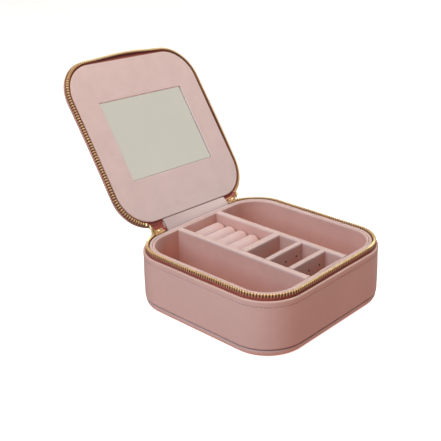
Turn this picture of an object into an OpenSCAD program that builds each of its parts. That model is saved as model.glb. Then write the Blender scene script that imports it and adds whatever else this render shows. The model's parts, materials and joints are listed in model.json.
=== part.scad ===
// Travel jewelry case: a square, soft-cornered zip-round case with a divided tray,
// a roll section for rings, and a lid that carries a mirror. Millimetres, +Z up.
// The origin is the centre of the bottom face. +Y points to the hinge side.
// The case is drawn open, with the lid resting on its stop.

/* [Case] */
// Width and depth of the case, outside
case_side = 152.6; // [142:0.2:166]
// Outer corner radius seen from above
corner_r = 33.8; // [31:0.2:37]
// Height of the base wall's top edge
wall_top = 46.7; // [45.2:0.1:55]
// Thickness of the covered wall at its folded top edge
wall_t = 2.2; // [2:0.05:2.3]
// Height of the rounded bottom panel
bottom_h = 6.3; // [6.2:0.1:7.4]
// Radius of the bottom panel's lower edge
foot_r = 5.4; // [3.5:0.1:5.5]
// Height of the shadow groove above the bottom panel
groove_h = 0.7; // [0.4:0.1:0.9]

/* [Lid] */
// Distance from the zip plane up to the edge of the lid's wall
lid_rise = 3.9; // [3.8:0.1:4.2]
// Height of the lid, from its wall's edge to its top
lid_h = 4.6; // [4.5:0.1:5.5]
// Height of the lid's padded top panel
top_panel_h = 2.2; // [2.1:0.1:2.3]
// Radius of the lid's soft outer edge
lid_r = 5.5; // [5:0.1:5.8]
// Inset of the lid from the outside of the base
lid_in = 1.4; // [1.3:0.05:1.5]
// Height of the groove below the lid's top panel
lid_groove_h = 0.4; // [0.3:0.1:0.5]
// Inset of the suede panel from the outside of the case
panel_inset = 5.7; // [5.6:0.05:6.1]
// Distance from the zip plane to the face of the suede panel
panel_gap = 1.0; // [0.9:0.1:1.2]
// Width of the mirror that shows
mirror_w = 94.5; // [80:0.5:100]
// Height of the mirror that shows
mirror_h = 70; // [55:0.5:76]
// Depth of the mirror below the face of the suede panel
mirror_recess = 1.2; // [1:0.1:1.4]

/* [Hinge] */
// Angle the lid opens to, from closed
open_angle = 124.6; // [90:0.1:126]
// Height of the fold line above the zip plane at the middle of the back
fold_rise = 2.2; // [1.8:0.1:2.6]
// Inset of the fold line from the outside of the base
fold_in = 1.3; // [1:0.1:1.6]
// Lean of the fold line across the soft strip
fold_lean = 2; // [0:0.1:2.2]
// Width of the fabric hinge strip
strip_w = 73; // [60:1:74]
// Sideways offset of the strip's lining
lining_shift = 2.5; // [0:0.1:2.5]

/* [Zip] */
// Distance from the base wall's top edge up to the zip plane
zip_rise = 5.1; // [5:0.1:5.4]
// Inset of the zip from the outside of the case
zip_inset = 3.1; // [3.05:0.05:3.15]
// Distance from tooth to tooth
tooth_pitch = 2.25; // [2.15:0.05:2.8]
// Thickness of a tooth along the zip
tooth_w = 1.1; // [0.8:0.1:1.2]
// Length of the zip pull below its eyelet
pull_l = 21; // [14:1:26]

/* [Tray] */
// Height of the tray rim and the dividers
rim_top = 50.2; // [50:0.1:50.3]
// Height of the tray floor's upper face
floor_top = 9.8; // [9.6:0.1:12]
// Inset of the liner wall from the outside of the case
liner_inset = 5.3; // [5.3:0.1:5.5]
// Thickness of the liner wall, and of the tray wall inside it
rim_t = 2; // [1.8:0.1:2.1]
// Thickness of the dividers
board_t = 5.2; // [4:0.1:6]
// Middle of the left divider, across the case
left_x = -24.5; // [-28:0.1:-22]
// Middle of the right divider, across the case
right_x = 21.4; // [18:0.1:24]
// Thickness of the divider in front of the ring section
ring_end_t = 6.4; // [5:0.1:7]
// Middle of that divider, along the case
ring_end_y = -0.9; // [-3:0.1:0]
// Middle of the divider behind the middle box, along the case
stud_back_y = -24.9; // [-26:0.1:-24.5]
// Middle of the divider behind the front box, along the case
stud_front_y = -47.7; // [-48.5:0.1:-47]
// Thickness of those two dividers
stud_board_t = 4.6; // [4:0.1:5.5]
// Radius of the holes for earring posts
stud_r = 0.9; // [0.6:0.1:1.2]
// Distance between those holes
stud_pitch = 13; // [10:0.5:14]
// Distance of those holes below the divider's top
stud_drop = 9.4; // [6:0.1:12]
// Height of the tops of the ring rolls
roll_top = 43.4; // [42:0.1:44]

/* [Hidden] */
$fn = 64;

leather = "#c9a199";
suede = "#d9bdb8";
velvet = "#e6cfcd";
tape_pink = "#b5746a";
brass = "#d2a24c";
board_grey = "#8d8580";
glass = "#cfcdc0";

gap = 0.1;                              // clearance between glued layers
past = 1;                               // how far a cut runs past the face it goes through
zip_z = wall_top + zip_rise;            // plane where the two rows of teeth meet
half = case_side / 2;
straight = half - corner_r;             // from the middle of a side to its corner's start
zip_r = corner_r - zip_inset;           // radius of the zip round a corner
quarter = 2 * straight + zip_r * PI / 2; // one side and one corner along the zip
track = 4 * quarter;                    // the whole way round along the zip
tape_t = 0.8;
tape_in = zip_inset - tape_t / 2;
tape_out = zip_inset + tape_t / 2;
tape_root = wall_top - 3.6;             // where the tape is glued in below the wall's edge
frame_in = tape_out + gap;              // outer face of the stiff frame behind the tape
frame_out = liner_inset - gap;
hem_r = wall_t / 2;                     // the wall's edges are folded and round
foot_lip_r = 0.6;                       // rounding of the bottom panel's upper edge
foot_in = foot_r + 2;                   // inside of the bottom panel's solid rim
foot_skin = 1.2;                        // thickness of the covering under the bottom board

tray_inset = liner_inset + rim_t + gap; // outer face of the tray wall
well_inset = tray_inset + rim_t;        // inner face of the tray wall
well = half - well_inset;               // half of the space inside the tray
tray_drop = 0.4;                        // the tray wall ends this far below the liner's rim
edge_r = 0.8;                           // rounding of the dividers' top edges
left_face = left_x + board_t / 2;       // the middle column lies between these two
right_face = right_x - board_t / 2;
column_w = right_face - left_face;
column_x = (left_face + right_face) / 2;
rolls = 5;
ring_front = ring_end_y + ring_end_t / 2;
roll_pitch = (well - ring_front) / rolls;
roll_r = roll_pitch / 2 - gap / 2;
pad_top = roll_top - 2 * roll_r;

lid_edge = zip_z + lid_rise;            // the lid wall's edge when the lid is closed
lid_top = lid_edge + lid_h;
top_panel_z = lid_top - top_panel_h;
panel_z = zip_z + panel_gap;            // face of the suede panel when the lid is closed
mirror_z = panel_z + mirror_recess;
mirror_t = 1.6;
mirror_lap = 4;                         // how far the mirror runs on behind the panel
mirror_y = -1.2;                        // the mirror sits a little forward of the middle
lid_board_z = mirror_z + mirror_t;
padding_z = lid_board_z + 1.6;          // top of the lid's board
lid_groove_z = top_panel_z - lid_groove_h; // the lid wall ends under the groove
lid_tape_top = lid_groove_z - 0.8;      // the lid's tape is glued in up to here
lid_hem_r = 0.5;                        // the lid wall's edge is folded and round
lid_skin = 1;                           // thickness of the covering over the padding
rim_run = 1;                            // the top panel's solid rim beyond its soft edge
lid_rim_in = lid_in + lid_r + rim_run;  // inside of that rim
lid_frame_z = zip_z + 3.1;              // the lid's frame stays clear of the sliders

fold_z = zip_z + fold_rise;
fold_y = half - fold_in;
leaf_gap = 0.2;                         // from the zip plane to each leaf of the hinge strip
lining_h = 2.8;                         // height of the lining's upper leaf
lining_z = wall_top - 1;                // foot of the lining's lower leaf
teeth_from = 38.6;                      // first tooth of the base, along the zip
teeth = round((track - 2 * teeth_from) / tooth_pitch);
pitch = (track - 2 * teeth_from) / teeth; // closest pitch that fits a whole number of teeth
lid_skip = 5;                           // the lid has this many teeth fewer at each end
row_gap = 0.6;                          // from the zip plane to each row of teeth
tooth_h = 2.2;
tooth_n = 1.6;
base_teeth_z = zip_z - row_gap - tooth_h;
lid_teeth_z = zip_z + row_gap;
stop_w = 1.3;
stop_n = 1.8;
stop_back = tooth_w / 2 + gap + stop_w / 2; // from the last tooth to the stop beyond it

slider_turn = 3;                        // degrees round the rear corner where a slider parks
parked = straight + zip_r * slider_turn * PI / 180;
slider_l = 9;
slider_top = zip_z + 2.8;
slider_foot = zip_z - 3.2;
inner_foot = rim_top + 0.4;             // the inner plate stays above the tray's rim
outer_plate_t = 0.7;
inner_plate_t = 0.6;
slot_out = 1.2;                         // faces of the two plates, from the zip's centre
slot_in = 1.4;
bite = 0.1;                             // overlap of a slider's own blocks
web_t = 0.6;                            // fits between the two rows of teeth
bar_z = zip_z - 2.6;                    // height of the pull's bar
bar_r = 0.5;
bar_l = 5.6;
lug_w = 0.9;
lug_h = 1.2;
eye_r = 1.25;
eye_w = 2;
eye_clearance = 0.06;
neck_l = 4.4;                           // from the bar to the centre of the tab's round top
pull_w = 5;
pull_t = 1;
bar_out = zip_inset + pull_t / 2 + gap; // the pull's bar, from the zip's centre

// A square with round corners, inset from the outside of the case
module outline(inset) {
    s = 2 * (half - inset);
    r = corner_r - inset;
    square([s - 2 * r, s], center = true);
    square([s, s - 2 * r], center = true);
    for (x = [-1, 1], y = [-1, 1]) translate([x, y] * straight) circle(r);
}

module slab(inset, z0, z1) {
    translate([0, 0, z0]) linear_extrude(z1 - z0) outline(inset);
}

module ring(inset_out, inset_in, z0, z1) {
    translate([0, 0, z0]) linear_extrude(z1 - z0) difference() {
        outline(inset_out);
        outline(inset_in);
    }
}

// Sweeps a profile round the case: its x is the inset from the outside, its y the height
module around() {
    for (k = [0:3]) rotate([0, 0, 90 * k]) {
        translate([half, straight, 0]) rotate([90, 0, 0]) mirror([1, 0, 0])
            linear_extrude(2 * straight) children();
        translate([straight, straight, 0]) rotate_extrude(angle = 90)
            translate([corner_r, 0]) mirror([1, 0]) children();
    }
}

// A profile with round upper corners
module round_top(x0, x1, z0, z1, r) {
    translate([x0, z0]) square([x1 - x0, z1 - z0 - r]);
    translate([x0 + r, z0]) square([x1 - x0 - 2 * r, z1 - z0]);
    for (x = [x0 + r, x1 - r]) translate([x, z1 - r]) circle(r);
}

// A profile that fills from its round outer corner inwards
module round_foot(width, height, r, lip_r) {
    translate([r, 0]) square([width - r, height]);
    translate([0, r]) square([width, height - r - lip_r]);
    translate([lip_r, r]) square([width - lip_r, height - r]);
    translate([r, r]) intersection() {
        circle(r);
        translate([-r, -r]) square(r);
    }
    translate([lip_r, height - lip_r]) circle(lip_r);
}

// Puts its children on the zip line, s along it from the middle of the back towards the
// left; there +Y points outwards and -X along the zip
module on_track(s) {
    t = s + straight;
    k = floor(t / quarter);
    u = t - k * quarter;
    turn = max(0, u - 2 * straight) / zip_r * 180 / PI;
    rotate([0, 0, 90 * k]) translate([straight - min(u, 2 * straight), straight, 0])
        rotate([0, 0, turn]) translate([0, zip_r, 0]) children();
}

// Turns the closed lid to where it rests when open
module opened() {
    translate([0, fold_y, fold_z]) rotate([0, fold_lean, 0]) rotate([-open_angle, 0, 0])
        rotate([0, -fold_lean, 0]) translate([0, -fold_y, -fold_z]) children();
}

// A block behind the back of the zip line that cuts a gap of the given half width
module back_gap(half_w, z0, z1) {
    translate([-half_w, half - 10, z0]) cube([2 * half_w, 20, z1 - z0]);
}

module tooth(z0) {
    translate([-tooth_w / 2, -tooth_n / 2, z0]) cube([tooth_w, tooth_n, tooth_h]);
}

// ---- Base ----

module base_bottom_cover() {
    color(leather) difference() {
        union() {
            around() round_foot(foot_in + past, bottom_h, foot_r, foot_lip_r);
            slab(foot_in, 0, bottom_h);
        }
        slab(foot_in, foot_skin, bottom_h + past);
    }
}

module base_bottom_board() {
    color(board_grey) slab(foot_in + gap, foot_skin, bottom_h);
}

module base_wall() {
    z0 = bottom_h + groove_h;
    color(leather) around() {
        translate([0, z0 + hem_r]) square([wall_t, wall_top - z0 - 2 * hem_r]);
        translate([hem_r, z0]) square([tape_out - hem_r, tape_root - z0 - gap]);
        for (z = [z0 + hem_r, wall_top - hem_r]) translate([hem_r, z]) circle(hem_r);
    }
}

module base_frame_board() {
    color(board_grey) ring(frame_in, frame_out, bottom_h, wall_top - 1);
}

module base_zip_tape() {
    color(tape_pink) difference() {
        ring(tape_in, tape_out, tape_root, base_teeth_z);
        back_gap(strip_w / 2, tape_root - past, zip_z);
    }
}

module base_zip_teeth() {
    color(brass) for (i = [0:teeth]) on_track(teeth_from + i * pitch) tooth(base_teeth_z);
}

// Small clips that end a row of teeth, at both ends of the row
module zip_stops(from, z0) {
    for (s = [from, track - from]) on_track(s)
        translate([-stop_w / 2, -stop_n / 2, z0]) cube([stop_w, stop_n, tooth_h]);
}

module base_zip_stops() {
    color(brass) zip_stops(teeth_from - stop_back, base_teeth_z);
}

module base_liner() {
    color(suede) around() round_top(liner_inset, liner_inset + rim_t, bottom_h, rim_top, rim_t / 2);
}

module tray_wall() {
    color(suede) around() round_top(tray_inset, well_inset, bottom_h, rim_top - tray_drop, edge_r);
}

module tray_floor() {
    color(suede) slab(well_inset + gap, bottom_h, floor_top);
}

// A divider along Y with round top edges, centred on the origin
module divider(length, thick) {
    translate([0, length / 2, 0]) rotate([90, 0, 0]) linear_extrude(length)
        round_top(-thick / 2, thick / 2, floor_top, rim_top, edge_r);
}

module divider_left() {
    color(suede) translate([left_x, 0, 0]) divider(2 * (well - gap), board_t);
}

module divider_right() {
    color(suede) translate([right_x, 0, 0]) divider(2 * (well - gap), board_t);
}

module cross_divider(y, thick) {
    translate([column_x, y, 0]) rotate([0, 0, 90]) divider(column_w - 2 * gap, thick);
}

module divider_ring_end() {
    color(suede) cross_divider(ring_end_y, ring_end_t);
}

// A cross divider with three holes for earring posts
module stud_divider(y) {
    color(suede) difference() {
        cross_divider(y, stud_board_t);
        for (i = [-1:1]) translate([column_x + i * stud_pitch, y, rim_top - stud_drop])
            rotate([90, 0, 0]) cylinder(r = stud_r, h = 3 * stud_board_t, center = true);
    }
}

module divider_stud_back() { stud_divider(stud_back_y); }

module divider_stud_front() { stud_divider(stud_front_y); }

module ring_pad() {
    depth = well - ring_front - 2 * gap;
    color(velvet) translate([left_face + gap, ring_front + gap, floor_top])
        cube([column_w - 2 * gap, depth, pad_top - floor_top]);
}

// Foam rolls across the column, numbered from the back
module ring_roll(number) {
    y = well - (number - 0.5) * roll_pitch;
    color(velvet) translate([column_x, y, pad_top + roll_r]) rotate([0, 90, 0])
        cylinder(r = roll_r, h = column_w - 2 * gap, center = true);
}

module hinge_strip_lower() {
    color(leather) translate([-strip_w / 2, half - tape_out, tape_root])
        cube([strip_w, tape_t, zip_z - leaf_gap - tape_root]);
}

module hinge_lining_lower() {
    color(suede) translate([lining_shift - strip_w / 2, half - liner_inset + gap, lining_z])
        cube([strip_w, tape_t, zip_z - leaf_gap - lining_z]);
}

// ---- Lid, drawn closed and then opened ----

// Keeps its children within the lid's soft round edge
module lid_edge_round() {
    intersection() {
        translate([lid_in + lid_r, lid_top - lid_r]) circle(lid_r);
        union() children();
    }
}

// The wall has a folded edge below, and runs in over the tape just under the top panel
module lid_wall() {
    color(leather) opened() around() {
        lid_edge_round() {
            translate([0, lid_edge + lid_hem_r])
                square([tape_in - gap, lid_groove_z - lid_edge - lid_hem_r]);
            translate([0, lid_tape_top + gap]) square([tape_out, lid_groove_z - lid_tape_top - gap]);
        }
        translate([tape_in - gap - lid_hem_r, lid_edge + lid_hem_r]) circle(lid_hem_r);
    }
}

module lid_top_panel() {
    color(leather) opened() difference() {
        union() {
            around() {
                lid_edge_round() translate([0, top_panel_z]) square([lid_in + lid_r, top_panel_h]);
                translate([lid_in + lid_r, top_panel_z]) square([rim_run + past, top_panel_h]);
            }
            slab(lid_rim_in, top_panel_z, lid_top);
        }
        slab(lid_rim_in, top_panel_z - past, lid_top - lid_skin);
    }
}

module lid_padding() {
    color(board_grey) opened() {
        slab(frame_in, padding_z, top_panel_z);
        slab(lid_rim_in + gap, top_panel_z, lid_top - lid_skin);
    }
}

module lid_board() {
    color(board_grey) opened() slab(frame_in, lid_board_z, padding_z);
}

module lid_frame_board() {
    color(board_grey) opened() ring(frame_in, panel_inset - gap, lid_frame_z, lid_board_z);
}

module lid_zip_tape() {
    color(tape_pink) opened() difference() {
        ring(tape_in, tape_out, lid_teeth_z + tooth_h, lid_tape_top);
        back_gap(straight + slider_l / 2, zip_z, lid_top);
    }
}

// The lid's teeth stand half a pitch on from the base's
module lid_zip_teeth() {
    color(brass) opened() for (i = [lid_skip:teeth - 1 - lid_skip])
        on_track(teeth_from + (i + 0.5) * pitch) tooth(lid_teeth_z);
}

module lid_zip_stops() {
    color(brass) opened() zip_stops(teeth_from + (lid_skip + 0.5) * pitch - stop_back, lid_teeth_z);
}

// The suede-covered panel, with the window that the mirror shows through
module lid_panel() {
    color(suede) opened() difference() {
        slab(panel_inset, panel_z, mirror_z);
        mirror_plate(0, panel_z - past, mirror_z + past);
    }
}

// A plate of the mirror's outline, larger than what shows of it by a lap all round
module mirror_plate(lap, z0, z1) {
    translate([-mirror_w / 2 - lap, mirror_y - mirror_h / 2 - lap, z0])
        cube([mirror_w + 2 * lap, mirror_h + 2 * lap, z1 - z0]);
}

module mirror_glass() {
    color(glass) opened() mirror_plate(mirror_lap, mirror_z, lid_board_z);
}

// Card the mirror is set into, so that it lies flush behind the panel
module mirror_surround() {
    color(board_grey) opened() difference() {
        slab(panel_inset, mirror_z, lid_board_z);
        mirror_plate(mirror_lap + gap, mirror_z - past, lid_board_z + past);
    }
}

module hinge_strip_upper() {
    color(leather) opened() translate([-strip_w / 2, half - tape_out, zip_z + leaf_gap])
        cube([strip_w, tape_t, lid_tape_top - zip_z - leaf_gap]);
}

module hinge_lining_upper() {
    color(suede) opened()
        translate([lining_shift - strip_w / 2, half - liner_inset + gap, zip_z + leaf_gap])
        cube([strip_w, tape_t, lining_h]);
}

// ---- Sliders and pulls ----

// A slider is two plates with a thin web that runs between the two rows of teeth, and two
// lugs that carry the bar of its pull
module slider() {
    translate([-slider_l / 2, slot_out, slider_foot])
        cube([slider_l, outer_plate_t, slider_top - slider_foot]);
    translate([-slider_l / 2, -slot_in - inner_plate_t, inner_foot])
        cube([slider_l, inner_plate_t, slider_top - inner_foot]);
    translate([-slider_l / 2, -slot_in - bite, zip_z - web_t / 2])
        cube([slider_l, slot_in + slot_out + 2 * bite, web_t]);
    for (x = [-1, 1]) translate([x * bar_l / 2 - lug_w / 2, slot_out + bite, bar_z - lug_h / 2])
        cube([lug_w, bar_out + bar_r - slot_out - bite, lug_h]);
    translate([0, bar_out, bar_z]) rotate([0, 90, 0]) cylinder(r = bar_r, h = bar_l, center = true);
}

// A pull hangs from the bar by an eyelet and a neck, and ends in a tab with round ends
module pull() {
    translate([0, bar_out, bar_z]) {
        difference() {
            union() {
                rotate([0, 90, 0]) cylinder(r = eye_r, h = eye_w, center = true);
                translate([-eye_w / 2, -pull_t / 2, -neck_l]) cube([eye_w, pull_t, neck_l - bar_r]);
            }
            rotate([0, 90, 0]) cylinder(r = bar_r + eye_clearance, h = eye_w + past, center = true);
        }
        translate([0, pull_t / 2, 0]) rotate([90, 0, 0]) linear_extrude(pull_t) {
            translate([-pull_w / 2, -pull_l]) square([pull_w, pull_l - neck_l]);
            translate([0, -pull_l]) circle(pull_w / 2);
            translate([0, -neck_l]) circle(pull_w / 2);
        }
    }
}

module slider_left() { color(brass) on_track(parked) slider(); }

module pull_left() { color(brass) on_track(parked) pull(); }

module slider_right() { color(brass) on_track(track - parked) slider(); }

module pull_right() { color(brass) on_track(track - parked) pull(); }

base_bottom_cover();
base_bottom_board();
base_wall();
base_frame_board();
base_zip_tape();
base_zip_teeth();
base_zip_stops();
base_liner();
tray_wall();
tray_floor();
divider_left();
divider_right();
divider_ring_end();
divider_stud_back();
divider_stud_front();
ring_pad();
ring_roll(1);  // ring_roll_1
ring_roll(2);  // ring_roll_2
ring_roll(3);  // ring_roll_3
ring_roll(4);  // ring_roll_4
ring_roll(5);  // ring_roll_5
hinge_strip_lower();
hinge_lining_lower();
lid_wall();
lid_top_panel();
lid_padding();
lid_board();
lid_frame_board();
lid_zip_tape();
lid_zip_teeth();
lid_zip_stops();
lid_panel();
mirror_glass();  // mirror
mirror_surround();
hinge_strip_upper();
hinge_lining_upper();
slider_left();
pull_left();
slider_right();
pull_right();
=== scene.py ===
# The looks of a travel jewelry case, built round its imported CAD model. Metres, +Z up, and the
# hinge at +Y. Lid pieces are shaped closed, in the base's own frame, and then turned open.
import json
import math

import bmesh
import bpy
from mathutils import Matrix, Vector, noise


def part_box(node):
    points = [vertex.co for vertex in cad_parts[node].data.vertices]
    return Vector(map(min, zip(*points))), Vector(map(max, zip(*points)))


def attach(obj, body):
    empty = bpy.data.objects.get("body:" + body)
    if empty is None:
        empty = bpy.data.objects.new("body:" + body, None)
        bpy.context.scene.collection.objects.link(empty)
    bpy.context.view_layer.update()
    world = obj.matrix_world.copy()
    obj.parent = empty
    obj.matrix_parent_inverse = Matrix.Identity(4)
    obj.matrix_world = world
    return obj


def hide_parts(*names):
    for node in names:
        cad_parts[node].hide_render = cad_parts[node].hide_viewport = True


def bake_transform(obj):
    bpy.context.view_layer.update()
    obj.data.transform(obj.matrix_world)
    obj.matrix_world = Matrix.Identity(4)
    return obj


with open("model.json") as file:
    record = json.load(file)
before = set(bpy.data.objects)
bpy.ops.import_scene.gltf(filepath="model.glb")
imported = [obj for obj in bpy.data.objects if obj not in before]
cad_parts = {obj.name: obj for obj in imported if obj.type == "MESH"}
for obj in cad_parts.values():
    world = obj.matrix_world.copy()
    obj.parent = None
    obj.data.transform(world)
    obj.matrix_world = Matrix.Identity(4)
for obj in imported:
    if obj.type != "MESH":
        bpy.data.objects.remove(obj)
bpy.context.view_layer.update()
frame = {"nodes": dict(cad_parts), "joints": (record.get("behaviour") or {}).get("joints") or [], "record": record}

MM = 0.001

# ---- Sizes taken from the CAD model ----

JOINTS = {joint["name"]: joint for joint in frame["joints"]}
FOLD = JOINTS["lid_fold"]
FOLD_AT = Vector(FOLD["pos_m"])
FOLD_AXIS = Vector(FOLD["axis"])
OPEN_ANGLE = math.radians(FOLD["range_deg"][1])


def turned(angle):
    """The lid's turn about its fold line, from closed, by an angle in radians."""
    turn = Matrix.Rotation(-angle, 4, FOLD_AXIS)
    return Matrix.Translation(FOLD_AT) @ turn @ Matrix.Translation(-FOLD_AT)


OPENED = turned(OPEN_ANGLE)


def closed_box(node):
    """Lowest and highest corner of a lid node when the lid is closed."""
    shut = OPENED.inverted()
    points = [shut @ vertex.co for vertex in frame["nodes"][node].data.vertices]
    low = Vector([min(point[axis] for point in points) for axis in range(3)])
    high = Vector([max(point[axis] for point in points) for axis in range(3)])
    return low, high


WALL_LOW, WALL_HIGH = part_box("base_wall")
HALF = WALL_HIGH.x
WALL_TOP = WALL_HIGH.z
BOTTOM_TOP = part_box("base_bottom_cover")[1].z
CORNER_R = 33.8 * MM
STRAIGHT = HALF - CORNER_R
WALL_T = 2.2 * MM
TAPE_T = 0.8 * MM
TAPE_LOW, TAPE_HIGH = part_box("base_zip_tape")
ZIP_INSET = HALF - TAPE_HIGH.x + TAPE_T / 2
ZIP_R = CORNER_R - ZIP_INSET
ZIP_Z = JOINTS["slider_left_run"]["pos_m"][2]
CORNER_RUN = ZIP_R * math.pi / 2
QUARTER = 2 * STRAIGHT + CORNER_RUN
TRACK = 4 * QUARTER
TEETH_FROM = 38.6 * MM
PITCH = 2.25 * MM
TOOTH_GAP = 0.35 * MM
RIM_LOW, RIM_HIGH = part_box("base_liner")
LINER_INSET = HALF - RIM_HIGH.x
LINER_T = 2 * MM
TRAY_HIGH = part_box("tray_wall")[1]
TRAY_INSET = HALF - TRAY_HIGH.x
FLOOR_LOW, FLOOR_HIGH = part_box("tray_floor")
WELL = FLOOR_HIGH.x
LID_WALL_LOW, LID_WALL_HIGH = closed_box("lid_wall")
LID_TOP_LOW, LID_TOP_HIGH = closed_box("lid_top_panel")
PANEL_LOW, PANEL_HIGH = closed_box("lid_panel")
LID_TAPE_HIGH = closed_box("lid_zip_tape")[1].z
MIRROR_LOW, MIRROR_HIGH = closed_box("mirror")
MIRROR_LAP = 4 * MM
LID_R = 5.5 * MM
LID_ROUND_IN = 6.9 * MM
LID_ROUND_Z = LID_TOP_HIGH.z - LID_R
PARKED = STRAIGHT + ZIP_R * math.radians(3)
MOUTH = PARKED + 3.3 * MM      # the lid's row of teeth leaves the slider here
RIGID_FROM = 57 * MM           # and is held by the lid's wall from here on


# ---- Outlines ----

DEEP = 30 * MM    # beyond this inset the outline shrinks towards the middle instead


def station(s):
    """The centre that the outline turns about and the way out there, s along the zip.
    It starts at the middle of the back and goes towards the left."""
    along = s + STRAIGHT
    side = math.floor(along / QUARTER)
    rest = along - side * QUARTER
    quarter_turn = side * math.pi / 2
    turn = quarter_turn + max(0.0, rest - 2 * STRAIGHT) / ZIP_R
    centre = Vector((STRAIGHT - min(rest, 2 * STRAIGHT), STRAIGHT))
    centre.rotate(Matrix.Rotation(quarter_turn, 2))
    return centre, Vector((-math.sin(turn), math.cos(turn)))


def case_point(s, inset, z):
    """A point s along the outline, inset from the outside of the case, at height z."""
    centre, out = station(s)
    flat = centre + out * (CORNER_R - min(inset, DEEP))
    flat *= 1 - max(0.0, inset - DEEP) / (HALF - DEEP)
    return Vector((flat.x, flat.y, z))


def loop_stops(straight_steps=30, corner_steps=26):
    """Where a sweep all the way round has its sections."""
    found = []
    for side in range(4):
        start = side * QUARTER - STRAIGHT
        found += [start + 2 * STRAIGHT * i / straight_steps for i in range(straight_steps)]
        bend = start + 2 * STRAIGHT
        found += [bend + CORNER_RUN * i / corner_steps for i in range(corner_steps)]
    return found


def part_stops(first, last):
    """Where a sweep over part of the way round has its sections."""
    inner = [s % TRACK for s in loop_stops() if first + MM < s % TRACK < last - MM]
    return [first] + sorted(inner) + [last]


STOPS = loop_stops()


def rounded(corners, steps=5, longest=2.5 * MM):
    """Rounds the corners of an outline, given as (inset, z, radius), and splits long runs."""
    points = []
    count = len(corners)
    for i, (x, z, radius) in enumerate(corners):
        here = Vector((x, z))
        before = Vector(corners[i - 1][:2])
        after = Vector(corners[(i + 1) % count][:2])
        if radius == 0:
            points.append(here)
            continue
        start = here + (before - here).normalized() * radius
        end = here + (after - here).normalized() * radius
        weight = math.sin((before - here).angle(after - here) / 2)
        for k in range(steps + 1):
            t = k / steps
            a, b, c = (1 - t) ** 2, 2 * t * (1 - t) * weight, t * t
            points.append((a * start + b * here + c * end) / (a + b + c))
    split = []
    for i, point in enumerate(points):
        after = points[(i + 1) % len(points)]
        parts = max(1, math.ceil((after - point).length / longest))
        split += [point.lerp(after, k / parts) for k in range(parts)]
    return [(point.x, point.y) for point in split]


def up_to(outline, x, z):
    """An outline from its first point to its point at x and z."""
    last = next(i for i, p in enumerate(outline) if abs(p[0] - x) + abs(p[1] - z) < 0.001 * MM)
    return outline[:last + 1]


# ---- Mesh building ----

def smoothstep(low, high, value):
    t = min(1.0, max(0.0, (value - low) / (high - low)))
    return t * t * (3 - 2 * t)


def solid_mesh(name, verts, faces):
    """A mesh with all its faces looking outwards."""
    mesh = bpy.data.meshes.new(name)
    mesh.from_pydata([tuple(vert) for vert in verts], [], faces)
    mesh.validate()
    work = bmesh.new()
    work.from_mesh(mesh)
    bmesh.ops.recalc_face_normals(work, faces=work.faces)
    work.to_mesh(mesh)
    work.free()
    return mesh


def piece(name, verts, faces, material, body, stands_for=(), ruffle=None, sharp=40):
    """A piece of the object. A piece of the lid comes closed, and is turned open here."""
    if ruffle:
        verts = ruffled(verts, *ruffle)
    mesh = solid_mesh(name, verts, faces)
    mesh.polygons.foreach_set("use_smooth", [True] * len(mesh.polygons))
    mesh.set_sharp_from_angle(angle=math.radians(sharp))
    if body == "lid":
        mesh.transform(OPENED)
    mesh.materials.append(material)
    made = bpy.data.objects.new(name, mesh)
    bpy.context.scene.collection.objects.link(made)
    if body:
        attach(made, body)
    if stands_for:
        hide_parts(*stands_for)
    return made


def grid_faces(rows, columns, wrap_rows=False, wrap_columns=True):
    """Quads over a grid of vertices, which may close on itself either way."""
    faces = []
    for i in range(rows if wrap_rows else rows - 1):
        for j in range(columns if wrap_columns else columns - 1):
            a, b = i, (i + 1) % rows
            c, d = j, (j + 1) % columns
            faces.append((a * columns + c, a * columns + d, b * columns + d, b * columns + c))
    return faces


def shifted(faces, start):
    """The same faces for vertices that come after the first start ones."""
    return [tuple(start + i for i in face) for face in faces]


def tube_faces(rings, count):
    """The sides and both ends of a tube of rings, each with count vertices."""
    faces = grid_faces(rings, count)
    faces.append(tuple(reversed(range(count))))
    faces.append(tuple(range((rings - 1) * count, rings * count)))
    return faces


def no_wave(s, z):
    """How far an edge that keeps to its line moves out and up."""
    return 0, 0


def swept(stops, profile, shift=no_wave):
    """The vertices of a profile of (inset, z), carried along the outline."""
    verts = []
    for s in stops:
        for inset, z in profile:
            out, up = shift(s, z)
            verts.append(case_point(s, inset - out, z + up))
    return verts


def ring_sweep(profile, shift=no_wave):
    """A closed profile swept all the way round."""
    return swept(STOPS, profile, shift), grid_faces(len(STOPS), len(profile), wrap_rows=True)


def part_sweep(stops, profile, shift=no_wave):
    """A closed profile swept part of the way round, with its ends closed."""
    return swept(stops, profile, shift), tube_faces(len(stops), len(profile))


def disc_sweep(profile, shift=no_wave):
    """A profile that starts and ends near the middle, swept round into a closed shell."""
    rings, count = len(STOPS), len(profile)
    faces = grid_faces(rings, count, wrap_rows=True, wrap_columns=False)
    faces.append(tuple(i * count for i in range(rings)))
    faces.append(tuple(reversed([i * count + count - 1 for i in range(rings)])))
    return swept(STOPS, profile, shift), faces


def ruffled(verts, amount, size, seed):
    """Moves the vertices a little, smoothly, as soft covering does over a board."""
    offset = Vector((seed, seed * 2, seed * 3))
    return [vert + noise.noise_vector(vert / size + offset) * amount for vert in verts]


# ---- Materials ----

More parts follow.
